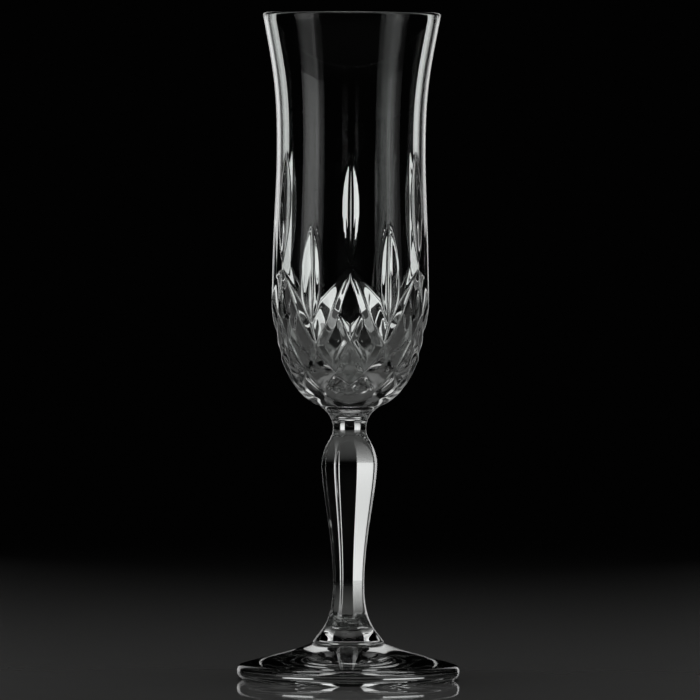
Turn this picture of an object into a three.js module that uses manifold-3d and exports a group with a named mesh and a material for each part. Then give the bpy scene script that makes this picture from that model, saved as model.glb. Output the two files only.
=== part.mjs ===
// A cut-glass champagne flute: three hot-formed pieces of clear glass, fused end to end.
//   foot  a shallow cone with a round rim, hollowed underneath so that it stands on a flat ring
//   stem  an eight-sided baluster that runs out into a round neck above and a round collar below
//   bowl  a tall flared cup with a short solid neck, its lower half cut with olives and a lattice
// Millimetres, +Z up, origin on the axis at the level that the foot stands on. The stem's ends
// lie flat against the foot and the bowl, on the two planes where the glass was fused.

import * as THREE from 'three';
import { mergeVertices } from 'three/addons/utils/BufferGeometryUtils.js';
import Module from 'manifold-3d';

const wasm = await Module();
wasm.setup();

// ---------------------------------------------------------------- driving dimensions

// Foot
const footRadius = 35.9;
const footHeight = 11.9; // up to the seat that the stem is fused to
const seatRadius = 11.8;
const footRimHeight = 5.2; // where the cone runs into the round rim
const standingRingInset = 1.9; // of the ring's outer edge from the foot's widest part
const standingRingWidth = 4;
const footHollowDepth = 1.8;

// Stem, with heights measured from the seat
const stemLength = 72.6;
const collarLedge = 0.4; // the collar stops this far inside the edge of the seat
const collarThickness = 0.9;
const waistRadius = 5.25; // over the corners of the stem's slimmest part
const waistHeight = 19.1;
const shoulderRadius = 9.33; // over the corners of its thickest part
const shoulderBelowJoint = 15.1;
const neckRadius = 5.3; // the round neck between the shoulder and the bowl
const neckBelowJoint = 3.7;
const stemSides = 8;
const stemTurn = -7; // degrees that the panels are turned from the bowl's pattern
const panelLow = 3.5; // where the panels run out below
const panelTopBelowJoint = 7.8; // and where their round tops end
const jointRadius = 6.25; // of the stem's head and the bowl's neck, where they are fused

// Bowl, with heights measured from the joint
const bowlHeight = 130.5;
const creaseRadius = 9.8; // where the neck meets the cup
const creaseHeight = 3.8;
const bellyRadius = 25.45;
const bellyHeight = 39.5;
const cupWaistRadius = 23.95;
const cupWaistBelowRim = 43.5;
const rimRadius = 28.65;
const lipWall = 1.9;
const cupWaistWall = 1.9;
const bellyWall = 2.8;
const cupFloorHeight = 10;

// Cuts, with heights measured from the joint
const repeats = 6; // of the pattern round the bowl
const oliveFlank = 20; // between an olive's flank and the surface that it is cut into
const tallOliveLow = 50;
const tallOliveHigh = 85;
const tallOliveDepth = 1.15;
const shortOliveLow = 29.4;
const shortOliveHigh = 63;
const shortOliveDepth = 1.3;
const ribFlank = 24; // on the side of the peak that a rib starts from
const ribOuterFlank = 16; // and on its far side, which is wider
const ribPeak = 48.4; // where the two ribs that lean apart start, below each tall olive
const ribCrossing = 23.3; // where they meet the neighbours' ribs, below each short olive
const ribMiddle = 15.4;
const ribFoot = 10;
const ribDepth = 1.6;
const innerRibFlank = 24;
const innerRibDepth = 1.1;

// Fineness of the curved surfaces
const bowlSteps = 48;
const stemSteps = 32;
const footSteps = 48;

// ---------------------------------------------------------------- shared helpers

const { clamp, degToRad, lerp, mapLinear } = THREE.MathUtils;
const point = (r, z) => new THREE.Vector2(r, z);

// A body turned about Z from a profile of (radius, height) points. The profile runs from the
// bottom of the axis up the outside, and comes back to the axis.
function turned(profile, steps) {
  const geometry = new THREE.LatheGeometry(profile, steps);
  geometry.rotateX(Math.PI / 2);
  return geometry;
}

// A curve that leaves one point towards its handle and reaches the other from its handle.
function bend(from, fromHandle, toHandle, to, steps) {
  return new THREE.CubicBezierCurve(from, fromHandle, toHandle, to).getPoints(steps);
}

// The radius of a profile's first rising stretch at a height.
function radiusOn(profile, z) {
  const above = profile.findIndex((p, i) => i > 0 && p.y >= z && p.y > profile[i - 1].y);
  const low = profile[above - 1];
  const high = profile[above];
  return mapLinear(z, low.y, high.y, low.x, high.x);
}

function solidOf(geometry) {
  const bare = geometry.clone();
  bare.deleteAttribute('normal');
  bare.deleteAttribute('uv');
  const merged = mergeVertices(bare, 1e-4);
  return new wasm.Manifold(new wasm.Mesh({
    numProp: 3,
    vertProperties: merged.attributes.position.array,
    triVerts: new Uint32Array(merged.index.array),
  }));
}

function geometryOf(solid) {
  const mesh = solid.getMesh();
  const geometry = new THREE.BufferGeometry();
  geometry.setAttribute('position', new THREE.BufferAttribute(mesh.vertProperties, 3));
  geometry.setIndex(new THREE.BufferAttribute(mesh.triVerts, 1));
  geometry.computeVertexNormals();
  return geometry;
}

function piece(name, geometry, height) {
  const glass = new THREE.MeshStandardMaterial({
    color: 0xedf3f1,
    roughness: 0.02,
    metalness: 0,
    transparent: true,
    opacity: 0.35,
  });
  const mesh = new THREE.Mesh(geometry, glass);
  mesh.name = name;
  mesh.position.z = height;
  return mesh;
}

// ---------------------------------------------------------------- foot

function footGeometry() {
  const seatEdge = point(seatRadius, footHeight);
  const rimShoulder = point(footRadius - 2.1, footRimHeight);
  const widest = point(footRadius, footRimHeight / 2);
  const ringOuter = footRadius - standingRingInset;
  const ringInner = ringOuter - standingRingWidth;
  const cone = bend(
    seatEdge,
    point(seatRadius + 3, footHeight - 1.95),
    point(rimShoulder.x - 5.9, footRimHeight + 1.65),
    rimShoulder,
    7,
  );
  const rim = bend(
    rimShoulder,
    point(footRadius - 0.5, footRimHeight - 0.4),
    point(footRadius, footRimHeight - 1),
    widest,
    4,
  );
  const underRim = bend(
    widest,
    point(footRadius, footRimHeight * 0.25),
    point(ringOuter + 0.9, footRimHeight * 0.1),
    point(ringOuter, 0),
    4,
  );
  const hollow = bend(
    point(ringInner, 0),
    point(ringInner * 0.8, footHollowDepth),
    point(ringInner * 0.5, footHollowDepth),
    point(0, footHollowDepth),
    5,
  );
  const inward = [...cone, ...rim.slice(1), ...underRim.slice(1), ...hollow];
  return turned([...inward.reverse(), point(0, footHeight)], footSteps);
}

// ---------------------------------------------------------------- stem

// The round blank that the panels are cut into.
function stemProfile() {
  const collarRadius = seatRadius - collarLedge;
  const neckHeight = stemLength - neckBelowJoint;
  const shoulderHeight = stemLength - shoulderBelowJoint;
  const collarTop = point(collarRadius - 0.2, collarThickness);
  const flare = bend(
    collarTop,
    point(collarTop.x - 2.6, collarThickness + 3.9),
    point(waistRadius, waistHeight * 0.33),
    point(waistRadius, waistHeight),
    8,
  );
  const swell = bend(
    point(waistRadius, waistHeight),
    point(waistRadius, lerp(waistHeight, shoulderHeight, 0.39)),
    point(shoulderRadius, lerp(waistHeight, shoulderHeight, 0.79)),
    point(shoulderRadius, shoulderHeight),
    8,
  );
  const shoulder = bend(
    point(shoulderRadius, shoulderHeight),
    point(shoulderRadius, lerp(shoulderHeight, neckHeight, 0.5)),
    point(neckRadius, lerp(shoulderHeight, neckHeight, 0.71)),
    point(neckRadius, neckHeight),
    9,
  );
  const head = bend(
    point(neckRadius, neckHeight),
    point(neckRadius, neckHeight + 1.8),
    point(jointRadius - 0.5, stemLength - 0.8),
    point(jointRadius, stemLength),
    3,
  );
  return [
    point(0, 0),
    point(collarRadius - 0.3, 0),
    point(collarRadius, collarThickness / 2),
    ...flare,
    ...swell.slice(1),
    ...shoulder.slice(1),
    ...head.slice(1),
    point(0, stemLength),
  ];
}

// How deep the panels go at a height: 1 is down to a full octagon, 0 leaves the blank round.
function panelDepth(z) {
  const lowRun = 14;
  const highRun = 5;
  const panelTop = stemLength - panelTopBelowJoint;
  const rise = clamp((z - panelLow) / lowRun, 0, 1);
  const fall = clamp((panelTop - z) / highRun, 0, 1);
  return (1 - (1 - rise) ** 2) * (1 - (1 - fall) ** 2);
}

function stemGeometry() {
  const geometry = turned(stemProfile(), stemSteps);
  const places = geometry.attributes.position;
  const panelWidth = (2 * Math.PI) / stemSides;
  const fullDepth = 1 - Math.cos(panelWidth / 2);
  for (let i = 0; i < places.count; i += 1) {
    const x = places.getX(i);
    const y = places.getY(i);
    const angle = Math.atan2(y, x);
    const fromMiddle = angle - panelWidth * Math.round(angle / panelWidth);
    const panel = (1 - fullDepth * panelDepth(places.getZ(i))) / Math.cos(fromMiddle);
    const kept = Math.min(1, panel);
    places.setXY(i, x * kept, y * kept);
  }
  geometry.rotateZ(degToRad(stemTurn));
  return geometry;
}

// ---------------------------------------------------------------- bowl

// The outside of the bowl before it is cut, from the joint up to the lip.
function bowlOutside() {
  const crease = point(creaseRadius, creaseHeight);
  const belly = point(bellyRadius, bellyHeight);
  const waist = point(cupWaistRadius, bowlHeight - cupWaistBelowRim);
  const lip = point(rimRadius, bowlHeight - lipWall / 2);
  const neck = bend(
    point(jointRadius, 0),
    point(jointRadius + 0.3, creaseHeight / 3),
    point(creaseRadius - 1.6, creaseHeight * 0.67),
    crease,
    3,
  );
  const cup = bend(
    crease,
    point(creaseRadius + 11, creaseHeight + 4),
    point(belly.x, lerp(crease.y, belly.y, 0.61)),
    belly,
    10,
  );
  return [...neck, ...cup.slice(1), ...cupSide(belly, waist, lip).slice(1)];
}

// The side of the cup from its belly up to the lip, drawn in at the waist and flared above it.
function cupSide(belly, waist, lip) {
  const barrel = bend(
    belly,
    point(belly.x, lerp(belly.y, waist.y, 0.34)),
    point(waist.x, lerp(belly.y, waist.y, 0.66)),
    waist,
    5,
  );
  const flare = bend(
    waist,
    point(waist.x, lerp(waist.y, lip.y, 0.47)),
    point(lip.x - 3.05, lerp(waist.y, lip.y, 0.61)),
    lip,
    7,
  );
  return [...barrel, ...flare.slice(1)];
}

// The round edge of the lip, between the outside and the inside.
function lipEdge() {
  const half = lipWall / 2;
  const arc = new THREE.EllipseCurve(rimRadius - half, bowlHeight - half, half, half, 0, Math.PI);
  return arc.getPoints(4).slice(1, -1);
}

// The inside, from the lip down to the bottom of the cup on the axis.
function bowlInside() {
  const lip = point(rimRadius - lipWall, bowlHeight - lipWall / 2);
  const waist = point(cupWaistRadius - cupWaistWall, bowlHeight - cupWaistBelowRim);
  const belly = point(bellyRadius - bellyWall, bellyHeight);
  const bottom = point(0, cupFloorHeight);
  const cup = bend(
    belly,
    point(belly.x, lerp(bottom.y, belly.y, 0.39)),
    point(belly.x * 0.53, bottom.y),
    bottom,
    8,
  );
  return [...cupSide(belly, waist, lip).reverse(), ...cup.slice(1)];
}

// A place on the outside at an angle from the front and a height, and the way out of the glass.
function onOutside(outside, angle, height) {
  const step = 0.5;
  const radius = radiusOn(outside, height);
  const slope = (radiusOn(outside, height + step) - radiusOn(outside, height - step)) / (2 * step);
  const place = new THREE.Vector3(radius * Math.sin(angle), -radius * Math.cos(angle), height);
  const out = new THREE.Vector3(Math.sin(angle), -Math.cos(angle), -slope).normalize();
  return { place, out };
}

// How far down a groove is at a share of its length: a wheel's round run-in, its full depth,
// and its round run-out, with both ends lifted just clear of the surface.
function wheelDepth(along, runIn, runOut) {
  const endsLift = 0.12;
  const fromEnd = clamp(Math.min(along / runIn, (1 - along) / runOut), 0, 1);
  return (1 + endsLift) * (1 - (1 - fromEnd) ** 2) - endsLift;
}

// The solid that one V-groove takes away, along a run of (degrees, height) on the outside.
// Its first flank is the one on the right hand of a wheel that travels along the run.
function grooveCutter(outside, { run, depth, flanks, runIn, runOut, stations }) {
  const standOut = 0.8; // how far the cutter reaches out of the surface
  const [firstSpread, secondSpread] = flanks.map((angle) => 1 / Math.tan(degToRad(angle)));
  const path = new THREE.SplineCurve(run);
  const look = 0.01; // of the path, either way, to see where it is going
  const corners = [];
  for (let i = 0; i <= stations; i += 1) {
    const along = i / stations;
    const at = path.getPoint(along);
    const ahead = path.getPoint(Math.min(along + look, 1));
    const behind = path.getPoint(Math.max(along - look, 0));
    const { place, out } = onOutside(outside, degToRad(at.x), at.y);
    const way = onOutside(outside, degToRad(ahead.x), ahead.y).place;
    way.sub(onOutside(outside, degToRad(behind.x), behind.y).place);
    const across = way.cross(out).normalize();
    const sink = depth * wheelDepth(along, runIn, runOut);
    const rise = sink + standOut;
    const top = place.clone().addScaledVector(out, standOut);
    corners.push(place.clone().addScaledVector(out, -sink));
    corners.push(top.clone().addScaledVector(across, rise * firstSpread));
    corners.push(top.clone().addScaledVector(across, -rise * secondSpread));
  }
  const faces = [0, 1, 2];
  for (let i = 0; i < 3 * stations; i += 3) {
    for (let side = 0; side < 3; side += 1) {
      const a = i + side;
      const b = i + ((side + 1) % 3);
      faces.push(a, a + 3, b, b, a + 3, b + 3);
    }
  }
  const last = 3 * stations;
  faces.push(last, last + 2, last + 1);
  const geometry = new THREE.BufferGeometry().setFromPoints(corners);
  geometry.setIndex(faces);
  return geometry;
}

// The grooves of one repeat. From each peak, below a tall olive, a rib leans down either way to
// the foot of the cup. A shallower inner rib starts from each and crosses below the peak.
function grooves() {
  const half = 180 / repeats;
  const upright = (angle, low, high, depth) => ({
    run: [point(angle, low), point(angle, (low + high) / 2), point(angle, high)],
    depth,
    flanks: [oliveFlank, oliveFlank],
    runIn: 0.5,
    runOut: 0.5,
    stations: 8,
  });
  const rib = [
    point(0, ribPeak),
    point(half * 0.27, lerp(ribCrossing, ribPeak, 0.7)),
    point(half * 0.6, lerp(ribCrossing, ribPeak, 0.32)),
    point(half, ribCrossing),
    point(half * 1.5, ribMiddle),
    point(half * 2, ribFoot),
  ];
  const innerRib = [
    point(-half * 0.31, lerp(ribCrossing, ribPeak, 0.43)),
    point(0, ribCrossing + 1.9),
    point(half * 0.41, ribMiddle + 0.6),
    point(half, ribFoot - 1.7),
  ];
  const ribShape = { depth: ribDepth, runIn: 0.5, runOut: 0.55, stations: 15 };
  const innerShape = { depth: innerRibDepth, runIn: 0.4, runOut: 0.4, stations: 9 };
  const ribFlanks = [ribFlank, ribOuterFlank];
  const innerFlanks = [innerRibFlank, innerRibFlank];
  const mirrored = (run) => run.map((p) => point(-p.x, p.y));
  return [
    upright(0, tallOliveLow, tallOliveHigh, tallOliveDepth),
    upright(half, shortOliveLow, shortOliveHigh, shortOliveDepth),
    { run: rib, flanks: ribFlanks, ...ribShape },
    { run: mirrored(rib), flanks: ribFlanks.toReversed(), ...ribShape },
    { run: innerRib, flanks: innerFlanks, ...innerShape },
    { run: mirrored(innerRib), flanks: innerFlanks, ...innerShape },
  ];
}

function bowlGeometry() {
  const outside = bowlOutside();
  const profile = [point(0, 0), ...outside, ...lipEdge(), ...bowlInside()];
  const cutters = [];
  for (const groove of grooves()) {
    const cutter = solidOf(grooveCutter(outside, groove));
    for (let i = 0; i < repeats; i += 1) cutters.push(cutter.rotate([0, 0, (360 / repeats) * i]));
  }
  const blank = solidOf(turned(profile, bowlSteps));
  return geometryOf(blank.subtract(wasm.Manifold.union(cutters)));
}

// ---------------------------------------------------------------- assembly

const flute = new THREE.Group();
flute.add(piece('foot', footGeometry(), 0));
flute.add(piece('stem', stemGeometry(), footHeight));
flute.add(piece('bowl', bowlGeometry(), footHeight + stemLength));

export default flute;
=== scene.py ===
import math

import bmesh
import bpy
import numpy as np
from mathutils import Matrix, Vector


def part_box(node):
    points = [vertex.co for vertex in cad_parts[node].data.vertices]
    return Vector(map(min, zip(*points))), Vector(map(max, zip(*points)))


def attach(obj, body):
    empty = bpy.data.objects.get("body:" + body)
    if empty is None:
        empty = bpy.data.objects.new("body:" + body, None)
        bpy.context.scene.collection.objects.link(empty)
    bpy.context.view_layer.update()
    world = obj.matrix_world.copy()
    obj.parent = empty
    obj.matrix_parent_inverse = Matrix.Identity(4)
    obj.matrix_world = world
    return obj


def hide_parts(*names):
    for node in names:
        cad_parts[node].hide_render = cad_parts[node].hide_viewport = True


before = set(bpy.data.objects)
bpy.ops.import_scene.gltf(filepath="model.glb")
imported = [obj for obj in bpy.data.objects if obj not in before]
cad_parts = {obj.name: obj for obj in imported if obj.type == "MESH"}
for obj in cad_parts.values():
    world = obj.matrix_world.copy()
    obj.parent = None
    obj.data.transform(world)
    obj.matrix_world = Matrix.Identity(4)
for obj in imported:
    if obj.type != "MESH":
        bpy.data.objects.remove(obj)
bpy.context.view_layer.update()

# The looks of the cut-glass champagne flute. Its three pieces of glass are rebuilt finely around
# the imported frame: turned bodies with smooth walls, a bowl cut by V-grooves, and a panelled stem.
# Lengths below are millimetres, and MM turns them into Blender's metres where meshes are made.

MM = 0.001

# ---------------------------------------------------------------- sizes from the frame


def radius_and_top(node):
    """How far a CAD node reaches from the axis and up from the floor, in millimetres."""
    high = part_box(node)[1] / MM
    return high.x, high.z


FOOT_RADIUS, SEAT = radius_and_top("foot")  # the stem is fused to the foot at SEAT
JOINT = radius_and_top("stem")[1]  # and the bowl to the stem at JOINT
RIM_RADIUS, RIM = radius_and_top("bowl")

# ---------------------------------------------------------------- the glass's own sizes

SEAT_RADIUS = 11.8
FOOT_RIM_HEIGHT = 5.2
RING_INSET = 1.9  # of the standing ring's outer edge from the foot's widest part
RING_WIDTH = 4
FOOT_HOLLOW = 1.8

# The stem, with heights measured from the seat
STEM_LENGTH = JOINT - SEAT
COLLAR_LEDGE = 0.4
COLLAR_THICKNESS = 0.9
COLLAR_RADIUS = SEAT_RADIUS - COLLAR_LEDGE
COLLAR_FOOT_RADIUS = COLLAR_RADIUS - 0.3  # of the face that is fused to the seat
WAIST_RADIUS = 5.25
WAIST_HEIGHT = 19.1
SHOULDER_RADIUS = 9.33
SHOULDER_BELOW_JOINT = 15.1
NECK_RADIUS = 5.3
NECK_BELOW_JOINT = 3.7
STEM_SIDES = 8
STEM_TURN = -7  # degrees that the panels are turned from the bowl's pattern
PANEL_LOW = 3.5  # where the panels run out below
PANEL_TOP_BELOW_JOINT = 7.8  # and where their round tops end
JOINT_RADIUS = 6.25

# The bowl, with heights measured from the joint
BOWL_HEIGHT = RIM - JOINT
CREASE_RADIUS = 9.8
CREASE_HEIGHT = 3.8
BELLY_RADIUS = 25.45
BELLY_HEIGHT = 39.5
CUP_WAIST_RADIUS = 23.95
CUP_WAIST_BELOW_RIM = 43.5
LIP_WALL = 1.9
CUP_WAIST_WALL = 1.9
BELLY_WALL = 2.8
CUP_FLOOR = 10

# The cuts, with heights measured from the joint and angles from the middle of a repeat
REPEATS = 6
OLIVE_FLANK = 26  # degrees between an olive's flank and the surface that it is cut into
TALL_OLIVE = {"low": 50, "high": 85, "widest": 67, "depth": 1.05}
SHORT_OLIVE = {"low": 29.4, "high": 63, "widest": 44.5, "depth": 1.17}
OLIVE_HOLLOW = 0.9  # how round the bottom of an olive is
OLIVE_BLUNTNESS = 2.3  # how late its depth runs out towards its points
RIB_HOLLOW = 0.12
RIDGE_ROUND = 0.1  # fire-polished ridges and edges
RIB_PEAK = 48.4
RIB_CROSSING = 23.3
RIB_FOOT = 10
RIB_FLANKS = (27, 20)  # on the side of its own repeat, and on the side of the next one
INNER_RIB_FLANKS = (27, 24)

# The depth of the ribs at heights from their peak down: (height, depth)
RIB_DEPTHS = (
    (48.4, 0), (44.5, 0.65), (40.5, 1.05), (35.5, 1.5), (30.5, 1.6),
    (23.5, 1.6), (19.5, 1.1), (15.4, 0.8), (10, 0.5),
)
INNER_RIB_DEPTHS = ((34, 0.35), (29.5, 0.85), (25.4, 1.1), (20.5, 1.05), (15.5, 0.9), (8.3, 0.3))

# ---------------------------------------------------------------- outlines


def lerp(a, b, share):
    return a + (b - a) * share


def clamp(value, low=0.0, high=1.0):
    return min(max(value, low), high)


def bend(start, start_handle, end_handle, end, steps):
    """Points on the curve that leaves start towards its handle and reaches end from its handle."""
    points = []
    for i in range(steps + 1):
        t = i / steps
        weights = ((1 - t) ** 3, 3 * t * (1 - t) ** 2, 3 * t * t * (1 - t), t**3)
        corners = (start, start_handle, end_handle, end)
        points.append(tuple(sum(w * c[k] for w, c in zip(weights, corners)) for k in (0, 1)))
    return points


def spokes(start, end, steps):
    """Points on a straight stretch, so that a flat disc is made of rings of even width."""
    shares = [i / steps for i in range(steps + 1)]
    return [(lerp(start[0], end[0], share), lerp(start[1], end[1], share)) for share in shares]


def chain(*stretches):
    """One outline from stretches that share their end points."""
    outline = list(stretches[0])
    for stretch in stretches[1:]:
        outline += stretch[1:]
    return outline


def foot_outline():
    seat_edge = (SEAT_RADIUS, SEAT)
    rim_shoulder = (FOOT_RADIUS - 2.1, FOOT_RIM_HEIGHT)
    widest = (FOOT_RADIUS, FOOT_RIM_HEIGHT / 2)
    ring_outer = FOOT_RADIUS - RING_INSET
    ring_inner = ring_outer - RING_WIDTH
    hollow = bend(
        (0, FOOT_HOLLOW),
        (ring_inner * 0.5, FOOT_HOLLOW),
        (ring_inner * 0.8, FOOT_HOLLOW),
        (ring_inner, 0),
        60,
    )
    ring = spokes((ring_inner, 0), (ring_outer, 0), 6)
    under_rim = bend(
        (ring_outer, 0),
        (ring_outer + 0.9, FOOT_RIM_HEIGHT * 0.1),
        (FOOT_RADIUS, FOOT_RIM_HEIGHT * 0.25),
        widest,
        14,
    )
    rim = bend(
        widest,
        (FOOT_RADIUS, FOOT_RIM_HEIGHT - 1),
        (FOOT_RADIUS - 0.5, FOOT_RIM_HEIGHT - 0.4),
        rim_shoulder,
        14,
    )
    cone = bend(
        rim_shoulder,
        (rim_shoulder[0] - 5.9, FOOT_RIM_HEIGHT + 1.65),
        (SEAT_RADIUS + 3, SEAT - 1.95),
        seat_edge,
        60,
    )
    seat = spokes(seat_edge, (COLLAR_FOOT_RADIUS, SEAT), 2)
    fused = spokes((COLLAR_FOOT_RADIUS, SEAT), (0, SEAT), 4)
    return chain(hollow, ring, under_rim, rim, cone, seat, fused)


def stem_outline():
    """The round blank that the stem's panels are cut into."""
    neck_height = STEM_LENGTH - NECK_BELOW_JOINT
    shoulder_height = STEM_LENGTH - SHOULDER_BELOW_JOINT
    collar_top = (COLLAR_RADIUS - 0.2, COLLAR_THICKNESS)
    fused_foot = spokes((0, 0), (COLLAR_FOOT_RADIUS, 0), 4)
    collar = bend(
        (COLLAR_FOOT_RADIUS, 0),
        (COLLAR_RADIUS + 0.05, 0.1),
        (COLLAR_RADIUS + 0.05, COLLAR_THICKNESS - 0.15),
        collar_top,
        8,
    )
    flare = bend(
        collar_top,
        (collar_top[0] - 2.6, COLLAR_THICKNESS + 3.9),
        (WAIST_RADIUS, WAIST_HEIGHT * 0.33),
        (WAIST_RADIUS, WAIST_HEIGHT),
        60,
    )
    swell = bend(
        (WAIST_RADIUS, WAIST_HEIGHT),
        (WAIST_RADIUS, lerp(WAIST_HEIGHT, shoulder_height, 0.39)),
        (SHOULDER_RADIUS, lerp(WAIST_HEIGHT, shoulder_height, 0.79)),
        (SHOULDER_RADIUS, shoulder_height),
        60,
    )
    shoulder = bend(
        (SHOULDER_RADIUS, shoulder_height),
        (SHOULDER_RADIUS, lerp(shoulder_height, neck_height, 0.5)),
        (NECK_RADIUS, lerp(shoulder_height, neck_height, 0.71)),
        (NECK_RADIUS, neck_height),
        60,
    )
    head = bend(
        (NECK_RADIUS, neck_height),
        (NECK_RADIUS, neck_height + 1.8),
        (JOINT_RADIUS - 0.5, STEM_LENGTH - 0.8),
        (JOINT_RADIUS, STEM_LENGTH),
        16,
    )
    fused_head = spokes((JOINT_RADIUS, STEM_LENGTH), (0, STEM_LENGTH), 3)
    return chain(fused_foot, collar, flare, swell, shoulder, head, fused_head)


def cup_side(belly, waist, lip, steps):
    """The side of the cup from its belly up to the lip, drawn in at the waist and flared above."""
    barrel = bend(
        belly,
        (belly[0], lerp(belly[1], waist[1], 0.34)),
        (waist[0], lerp(belly[1], waist[1], 0.66)),
        waist,
        steps,
    )
    flare = bend(
        waist,
        (waist[0], lerp(waist[1], lip[1], 0.47)),
        (lip[0] - 3.05, lerp(waist[1], lip[1], 0.61)),
        lip,
        steps,
    )
    return chain(barrel, flare)


def bowl_outside():
    """The outside of the bowl before it is cut, from the joint up to the lip."""
    crease = (CREASE_RADIUS, CREASE_HEIGHT)
    belly = (BELLY_RADIUS, BELLY_HEIGHT)
    waist = (CUP_WAIST_RADIUS, BOWL_HEIGHT - CUP_WAIST_BELOW_RIM)
    lip = (RIM_RADIUS, BOWL_HEIGHT - LIP_WALL / 2)
    neck = bend(
        (JOINT_RADIUS, 0),
        (JOINT_RADIUS + 0.3, CREASE_HEIGHT / 3),
        (CREASE_RADIUS - 1.6, CREASE_HEIGHT * 0.67),
        crease,
        200,
    )
    cup = bend(
        crease,
        (CREASE_RADIUS + 11, CREASE_HEIGHT + 4),
        (BELLY_RADIUS, lerp(CREASE_HEIGHT, BELLY_HEIGHT, 0.61)),
        belly,
        800,
    )
    return chain(neck, cup, cup_side(belly, waist, lip, 800))


def paced(outline, pace):
    """The same outline in steps of pace(height) millimetres, its first and last points kept."""
    points = [outline[0]]
    gone = 0
    for low, high in zip(outline, outline[1:]):
        gone += math.dist(low, high)
        if gone >= pace(high[1]):
            points.append(high)
            gone = 0
    if gone > pace(outline[-1][1]) / 2:
        points.append(outline[-1])
    points[-1] = outline[-1]
    return points


def bowl_lip():
    """The rounded edge of the lip, from the outside to the inside."""
    bead = LIP_WALL / 2
    middle = (RIM_RADIUS - bead, BOWL_HEIGHT - bead)
    steps = 14
    turns = [math.pi * i / steps for i in range(steps + 1)]
    return [(middle[0] + bead * math.cos(t), middle[1] + bead * math.sin(t)) for t in turns]


def bowl_inside():
    """The inside of the cup, from the lip down to its floor."""
    lip = (RIM_RADIUS - LIP_WALL, BOWL_HEIGHT - LIP_WALL / 2)
    waist = (CUP_WAIST_RADIUS - CUP_WAIST_WALL, BOWL_HEIGHT - CUP_WAIST_BELOW_RIM)
    belly = (BELLY_RADIUS - BELLY_WALL, BELLY_HEIGHT)
    side = cup_side(belly, waist, lip, 14)[::-1]
    cup = bend(
        belly,
        (belly[0], lerp(CUP_FLOOR, BELLY_HEIGHT, 0.39)),
        (belly[0] * 0.53, CUP_FLOOR),
        (0, CUP_FLOOR),
        30,
    )
    return chain(side, cup)


# ---------------------------------------------------------------- meshes


def new_object(name, mesh):
    piece = bpy.data.objects.new(name, mesh)
    bpy.context.scene.collection.objects.link(piece)
    return piece


def turned(name, outline, height, segments, section=None):
    """A closed body turned about Z from an outline that starts and ends on the axis.

    section(angle, radius, z) gives the radius of a body whose section isn't round."""
    shape = bmesh.new()
    rings = []
    for radius, z in outline:
        if radius < 1e-6:
            rings.append([shape.verts.new((0, 0, (z + height) * MM))])
            continue
        ring = []
        for i in range(segments):
            angle = 2 * math.pi * i / segments
            reach = section(angle, radius, z) if section else radius
            place = (reach * math.cos(angle), reach * math.sin(angle), z + height)
            ring.append(shape.verts.new(Vector(place) * MM))
        rings.append(ring)
    for low, high in zip(rings, rings[1:]):
        for i in range(segments):
            j = (i + 1) % segments
            if len(low) == 1:
                shape.faces.new((low[0], high[j], high[i]))
            elif len(high) == 1:
                shape.faces.new((low[i], low[j], high[0]))
            else:
                shape.faces.new((low[i], low[j], high[j], high[i]))
    mesh = bpy.data.meshes.new(name)
    shape.to_mesh(mesh)
    shape.free()
    return new_object(name, mesh)


def polish(piece, sharp_angle):
    """Smooth shading, with edges where the surface turns by more than sharp_angle kept crisp."""
    piece.data.shade_smooth()
    piece.data.set_sharp_from_angle(angle=math.radians(sharp_angle))


# ---------------------------------------------------------------- cuts


def spline_point(run, along):
    """A point on the smooth curve through a run of points, at a share of its length."""
    last = len(run) - 1
    at = along * last
    index = min(int(at), last - 1)
    t = at - index
    p0, p1 = run[max(index - 1, 0)], run[index]
    p2, p3 = run[index + 1], run[min(index + 2, last)]
    blended = []
    for k in (0, 1):
        v0 = (p2[k] - p0[k]) / 2
        v1 = (p3[k] - p1[k]) / 2
        blended.append(
            (2 * p1[k] - 2 * p2[k] + v0 + v1) * t**3
            + (-3 * p1[k] + 3 * p2[k] - 2 * v0 - v1) * t**2
            + v0 * t
            + p1[k]
        )
    return blended


def olive(angle, size):
    """An upright olive: deepest at its widest height and running out to a point at both ends."""
    steps = 24
    run = []
    for i in range(steps + 1):
        z = lerp(size["low"], size["high"], i / steps)
        end = size["high"] if z > size["widest"] else size["low"]
        away = (z - size["widest"]) / (end - size["widest"])
        run.append((angle, z, size["depth"] * (1 - abs(away) ** OLIVE_BLUNTNESS)))
    return {"run": run, "flanks": (OLIVE_FLANK, OLIVE_FLANK), "hollow": OLIVE_HOLLOW}


def rib(centre, side, points, depths, flanks):
    """A groove that runs down aslant from the middle of a repeat, to its right where side is 1."""
    steps = 60
    heights = [d[0] for d in depths][::-1]
    sinks = [d[1] for d in depths][::-1]
    run = []
    for i in range(steps + 1):
        angle, z = spline_point(points, i / steps)
        run.append((centre + side * angle, z, float(np.interp(z, heights, sinks))))
    return {"run": run, "flanks": flanks if side > 0 else flanks[::-1], "hollow": RIB_HOLLOW}


def grooves():
    """Every groove that reaches into the middle repeat. A run is (degrees, height, depth)."""
    half = 180 / REPEATS
    long_run = [
        (0, RIB_PEAK),
        (half * 0.27, 41),
        (half * 0.6, 31.3),
        (half, RIB_CROSSING),
        (half * 1.5, 15.4),
        (half * 2, RIB_FOOT),
    ]
    short_run = [(-half * 0.31, 34), (0, 25.2), (half * 0.41, 16), (half, RIB_FOOT - 1.7)]
    cuts = [olive(0, TALL_OLIVE), olive(-half, SHORT_OLIVE), olive(half, SHORT_OLIVE)]
    for centre in (-2 * half, 0, 2 * half):
        for side in (-1, 1):
            cuts.append(rib(centre, side, long_run, RIB_DEPTHS, RIB_FLANKS))
            cuts.append(rib(centre, side, short_run, INNER_RIB_DEPTHS, INNER_RIB_FLANKS))
    return cuts


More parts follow.
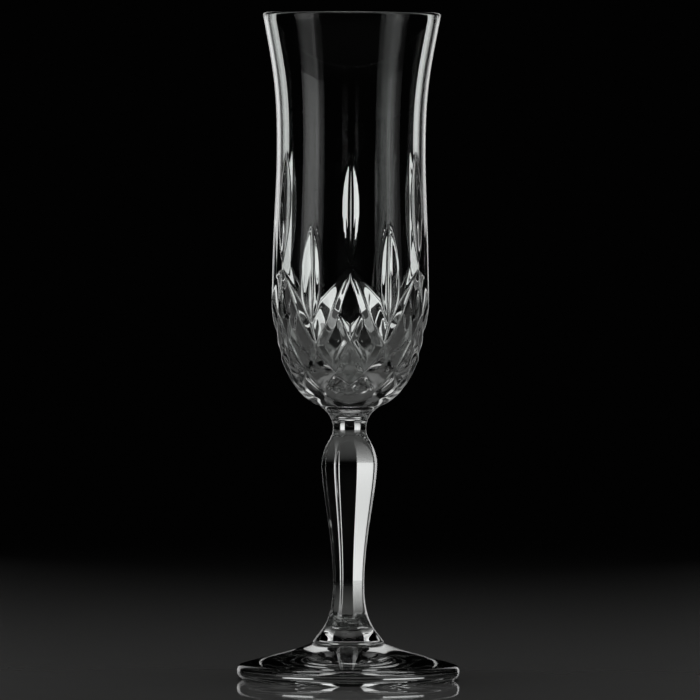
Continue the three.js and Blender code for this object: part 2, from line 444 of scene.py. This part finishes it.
def rounded_most(a, b, softness):
    """The greater of two depths, with the corner between them rounded off."""
    return (a + b + np.sqrt((a - b) ** 2 + softness**2)) / 2


def groove_depth(cut, angles, heights, lengths, radii):
    """How far one groove lies below the surface, over a grid of places. Under 0 it misses them.

    lengths are measured up along the outline, so distances are those on the glass itself."""
    run = np.array(cut["run"])
    turn = np.radians(run[:, 0])
    up = np.interp(run[:, 1], heights, lengths)
    sink = run[:, 2]
    here_x = radii[:, None] * angles[None, :]
    here_y = np.broadcast_to(lengths[:, None], here_x.shape)
    nearest = np.full(here_x.shape, np.inf)
    depth = np.full(here_x.shape, -np.inf)
    lean = [math.tan(math.radians(f)) for f in cut["flanks"]]
    for i in range(len(run) - 1):
        x0 = radii[:, None] * turn[i]
        x1 = radii[:, None] * turn[i + 1]
        dx, dy = x1 - x0, up[i + 1] - up[i]
        t = np.clip(((here_x - x0) * dx + (here_y - up[i]) * dy) / (dx * dx + dy * dy), 0, 1)
        off_x, off_y = here_x - x0 - t * dx, here_y - up[i] - t * dy
        away = np.hypot(off_x, off_y)
        left = dx * (here_y - up[i]) - dy * (here_x - x0) > 0
        slope = np.where(left, lean[1], lean[0])
        here = sink[i] + (sink[i + 1] - sink[i]) * t
        hollow = cut["hollow"] * here / sink.max()
        below = here - slope * (np.hypot(away, hollow) - hollow)
        closer = away < nearest
        depth = np.where(closer, below, depth)
        nearest = np.minimum(nearest, away)
    return depth


def cut_depths(columns, rows):
    """The depth of the cuts below the uncut surface, over one repeat of columns and all rows."""
    too_faint = 0.002
    step = 2 * math.pi / REPEATS / columns
    angles = (np.arange(columns) - columns / 2) * step
    radii, heights = np.array(rows).T
    lengths = np.concatenate(([0], np.cumsum(np.hypot(np.diff(radii), np.diff(heights)))))
    total = np.full((len(rows), columns), -1.0)
    for cut in grooves():
        total = rounded_most(total, groove_depth(cut, angles, heights, lengths, radii), RIDGE_ROUND)
    return np.maximum(rounded_most(total, 0, RIDGE_ROUND) - too_faint, 0)


# ---------------------------------------------------------------- materials


def glass_material(name, wave, wave_size, roughness=0.0):
    """Clear, slightly grey-green glass with a soft unevenness, wave millimetres high.

    wave_size says how many waves go into a metre along X, Y and Z."""
    material = bpy.data.materials.new(name)
    material.use_nodes = True
    nodes = material.node_tree.nodes
    links = material.node_tree.links
    shader = nodes["Principled BSDF"]
    shader.inputs["Base Color"].default_value = (0.965, 0.985, 0.975, 1)
    shader.inputs["Transmission Weight"].default_value = 1.0
    shader.inputs["IOR"].default_value = 1.53
    shader.inputs["Roughness"].default_value = roughness
    place = nodes.new("ShaderNodeNewGeometry")
    scale = nodes.new("ShaderNodeMapping")
    scale.inputs["Scale"].default_value = wave_size
    noise = nodes.new("ShaderNodeTexNoise")
    noise.inputs["Scale"].default_value = 1.0
    noise.inputs["Detail"].default_value = 1.0
    bump = nodes.new("ShaderNodeBump")
    bump.inputs["Strength"].default_value = 1.0
    bump.inputs["Distance"].default_value = wave * MM
    links.new(place.outputs["Position"], scale.inputs["Vector"])
    links.new(scale.outputs["Vector"], noise.inputs["Vector"])
    links.new(noise.outputs["Fac"], bump.inputs["Height"])
    links.new(bump.outputs["Normal"], shader.inputs["Normal"])
    return material


def fused_material():
    """The face between two fused pieces, which light crosses as if it weren't there."""
    material = bpy.data.materials.new("fused_face")
    material.use_nodes = True
    nodes = material.node_tree.nodes
    nodes.clear()
    output = nodes.new("ShaderNodeOutputMaterial")
    clear = nodes.new("ShaderNodeBsdfTransparent")
    material.node_tree.links.new(clear.outputs["BSDF"], output.inputs["Surface"])
    return material


# ---------------------------------------------------------------- the three pieces


def fused_faces(piece, height, reach, index):
    """Gives the flat faces at a height, within a reach of the axis, a material index."""
    for face in piece.data.polygons:
        centre = face.center / MM
        flat = abs(centre.z - height) < 1e-3 and abs(face.normal.z) > 0.99
        if flat and math.hypot(centre.x, centre.y) < reach:
            face.material_index = index


def make_foot(glass, ground, fused):
    foot = turned("foot_glass", foot_outline(), 0, 256)
    for material in (glass, ground, fused):
        foot.data.materials.append(material)
    fused_faces(foot, 0, FOOT_RADIUS, 1)
    fused_faces(foot, SEAT, COLLAR_FOOT_RADIUS, 2)
    polish(foot, 30)
    return foot


def panel_depth(z):
    """How deep the stem's panels go at a height: 1 is down to a full octagon, 0 leaves it round."""
    low_run = 14
    high_run = 5
    panel_top = STEM_LENGTH - PANEL_TOP_BELOW_JOINT
    rise = clamp((z - PANEL_LOW) / low_run)
    fall = clamp((panel_top - z) / high_run)
    return (1 - (1 - rise) ** 2) * (1 - (1 - fall) ** 2)


def stem_section(angle, radius, z):
    """The stem's radius at an angle: round, or cut by flat panels with faintly rounded edges."""
    if panel_depth(z) <= 0:
        return radius
    crispness = 110
    width = 2 * math.pi / STEM_SIDES
    full_depth = 1 - math.cos(width / 2)
    distance = radius * (1 - full_depth * panel_depth(z))
    total = radius**-crispness
    for i in range(STEM_SIDES):
        facing = math.cos(angle - i * width)
        if facing > 0:
            total += (facing / distance) ** crispness
    return total ** (-1 / crispness)


def make_stem(glass, fused):
    # a vertex lies on every edge between two panels
    segments = 32 * STEM_SIDES
    stem = turned("stem_glass", stem_outline(), SEAT, segments, stem_section)
    stem.data.transform(Matrix.Rotation(math.radians(STEM_TURN), 4, "Z"))
    for material in (glass, fused):
        stem.data.materials.append(material)
    fused_faces(stem, SEAT, COLLAR_FOOT_RADIUS, 1)
    fused_faces(stem, JOINT, JOINT_RADIUS, 1)
    polish(stem, 30)
    return stem


def make_bowl(glass, cut_glass, fused):
    """The bowl as one closed skin, its outside sunk by the cuts, with its rows closest there."""
    cut_shows = 0.04  # a shallower cut keeps the wall's own finish
    per_repeat = 60
    columns = per_repeat * REPEATS

    def pace(z):
        if z < RIB_FOOT - 4:
            return 0.7
        if z < RIB_PEAK + 2:
            return 0.45
        return 0.9 if z < TALL_OLIVE["high"] + 1 else 2.6

    outside = paced(bowl_outside(), pace)
    depths = cut_depths(per_repeat, outside)
    places = []
    for row, (radius, z) in enumerate(outside):
        low, high = outside[max(row - 1, 0)], outside[min(row + 1, len(outside) - 1)]
        way = Vector((high[1] - low[1], low[0] - high[0])).normalized()
        for column in range(columns):
            depth = depths[row, column % per_repeat]
            reach = radius - way.x * depth
            # the first column is half a repeat round from the front, as in cut_depths
            turn = 2 * math.pi * (column / columns - 0.5 / REPEATS)
            places.append((reach * math.sin(turn), -reach * math.cos(turn), z - way.y * depth))
    fused_rim = [(JOINT_RADIUS * share, 0) for share in (0.75, 0.5, 0.25)]
    for radius, z in bowl_lip()[1:] + bowl_inside()[1:-1] + fused_rim:
        for column in range(columns):
            turn = 2 * math.pi * (column / columns - 0.5 / REPEATS)
            places.append((radius * math.sin(turn), -radius * math.cos(turn), z))
    skin_rows = len(places) // columns - len(fused_rim)
    cup_middle, joint_middle = len(places), len(places) + 1
    places += [(0, 0, CUP_FLOOR), (0, 0, 0)]

    faces = []
    finishes = []
    for column in range(columns):
        after = (column + 1) % columns
        for row in range(skin_rows - 1):
            low, high = row * columns, (row + 1) * columns
            faces.append((low + column, low + after, high + after, high + column))
            is_cut = row < len(outside) and depths[row, column % per_repeat] > cut_shows
            finishes.append(2 if is_cut else 0)
        last = (skin_rows - 1) * columns
        faces.append((last + column, last + after, cup_middle))
        finishes.append(0)
        rings = [0] + [(skin_rows + i) * columns for i in range(len(fused_rim))]
        for outer, inner in zip(rings, rings[1:]):
            faces.append((outer + after, outer + column, inner + column, inner + after))
            finishes.append(1)
        faces.append((rings[-1] + after, rings[-1] + column, joint_middle))
        finishes.append(1)

    mesh = bpy.data.meshes.new("bowl_glass")
    mesh.from_pydata([(x * MM, y * MM, (z + JOINT) * MM) for x, y, z in places], [], faces)
    bowl = new_object("bowl_glass", mesh)
    for material in (glass, fused, cut_glass):
        mesh.materials.append(material)
    mesh.polygons.foreach_set("material_index", finishes)
    mesh.shade_smooth()
    # the fused face stays flat up to its edge
    mesh.set_sharp_from_angle(angle=math.radians(50))
    return bowl


# ---------------------------------------------------------------- floor, light and camera


def make_floor():
    """A plain, pale, polished floor, 12 m square."""
    size = 6
    mesh = bpy.data.meshes.new("floor")
    corners = [(-size, -size, 0), (size, -size, 0), (size, size, 0), (-size, size, 0)]
    mesh.from_pydata(corners, [], [(0, 1, 2, 3)])
    floor = new_object("floor", mesh)
    material = bpy.data.materials.new("pale_floor")
    material.use_nodes = True
    nodes = material.node_tree.nodes
    links = material.node_tree.links
    shader = nodes["Principled BSDF"]
    shader.inputs["Roughness"].default_value = 0.5
    shader.inputs["Coat Weight"].default_value = 1.0
    shader.inputs["Coat Roughness"].default_value = 0.03
    shader.inputs["Coat IOR"].default_value = 2.8
    place = nodes.new("ShaderNodeNewGeometry")
    noise = nodes.new("ShaderNodeTexNoise")
    noise.inputs["Scale"].default_value = 40
    tones = nodes.new("ShaderNodeMix")
    tones.data_type = "RGBA"
    tones.inputs["A"].default_value = (0.62, 0.62, 0.61, 1)
    tones.inputs["B"].default_value = (0.66, 0.66, 0.65, 1)
    links.new(place.outputs["Position"], noise.inputs["Vector"])
    links.new(noise.outputs["Fac"], tones.inputs["Factor"])
    links.new(tones.outputs["Result"], shader.inputs["Base Color"])
    floor.data.materials.append(material)


def beam_share(beam):
    """The power of a lamp with a narrowed beam, as a share of one as bright with a full beam."""
    edge = math.radians(beam / 2)
    return 1 - edge / math.tan(edge)


def soft_light(name, width, height, brightness, beam):
    """A soft light. brightness is how bright its face looks, and beam how widely it throws."""
    light = bpy.data.lights.new(name, "AREA")
    light.shape = "RECTANGLE"
    light.size = width
    light.size_y = height
    light.spread = math.radians(beam)
    light.energy = brightness * width * height * math.pi * beam_share(beam)
    lamp = bpy.data.objects.new(name, light)
    bpy.context.scene.collection.objects.link(lamp)
    return lamp


def upright_light(name, azimuth, fill, distance, height, brightness):
    """A soft light that stands on the floor and faces the glass.

    azimuth is counted in degrees from the camera's side, to the right, and fill is how much of
    the round the light takes up as the glass sees it."""
    width = 2 * distance * math.tan(math.radians(fill / 2))
    lamp = soft_light(name, width, height, brightness, beam=70)
    turn = math.radians(azimuth)
    lamp.location = (distance * math.sin(turn), -distance * math.cos(turn), height / 2)
    lamp.rotation_euler = (math.radians(90), 0, turn)


def make_lights():
    # the lights in front show as reflections in the wall, and those behind through the cuts
    upright_light("left_front", -65, fill=28, distance=0.9, height=0.7, brightness=0.9)
    upright_light("left_front_edge", -47, fill=7, distance=0.9, height=0.7, brightness=0.3)
    upright_light("right_front", 71, fill=18, distance=0.9, height=0.7, brightness=0.22)
    upright_light("right_front_strip", 60.5, fill=2.5, distance=0.9, height=0.7, brightness=1)
    upright_light("left_back", -158.5, fill=19, distance=0.82, height=0.85, brightness=0.95)
    upright_light("right_back", 161.5, fill=13, distance=0.82, height=0.85, brightness=1)
    overhead = soft_light("overhead", width=0.8, height=0.8, brightness=1.6, beam=50)
    overhead.location = (0, 0, 1.2)
    darkness = 0.0006
    world = bpy.data.worlds.new("studio")
    world.use_nodes = True
    background = world.node_tree.nodes["Background"]
    background.inputs["Color"].default_value = (darkness, darkness, darkness, 1)
    bpy.context.scene.world = world


def make_camera():
    """A long lens, a little below the rim and almost level. roll is in degrees."""
    distance = 2.72
    height = 0.177
    aim = Vector((0, 0, 0.1063))
    roll = 0.33
    data = bpy.data.cameras.new("camera")
    data.lens = 434.6
    data.sensor_width = 36
    data.clip_end = 50
    camera = bpy.data.objects.new("camera", data)
    camera.location = (0, -distance, height)
    turn = (aim - camera.location).to_track_quat("-Z", "Y").to_matrix().to_4x4()
    camera.rotation_euler = (turn @ Matrix.Rotation(math.radians(roll), 4, "Z")).to_euler()
    bpy.context.scene.collection.objects.link(camera)
    bpy.context.scene.camera = camera


# ---------------------------------------------------------------- scene

make_camera()
make_floor()
make_lights()

cycles = bpy.context.scene.cycles
cycles.max_bounces = 24
cycles.transmission_bounces = 24
cycles.transparent_max_bounces = 16
cycles.glossy_bounces = 12
cycles.sample_clamp_indirect = 8
bpy.context.scene.view_settings.view_transform = "Standard"

clear = glass_material("clear_glass_wall", 0.012, (60, 60, 18))
cut = glass_material("clear_glass_cut", 0.0012, (240, 240, 240))
moulded = glass_material("clear_glass_stem", 0.01, (90, 90, 40))
ground = glass_material("ground_ring", 0.01, (2500, 2500, 2500), roughness=0.3)
fused = fused_material()

foot = make_foot(moulded, ground, fused)
stem = make_stem(moulded, fused)
bowl = make_bowl(clear, cut, fused)
for piece, node in ((foot, "foot"), (stem, "stem"), (bowl, "bowl")):
    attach(piece, "root")
    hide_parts(node)
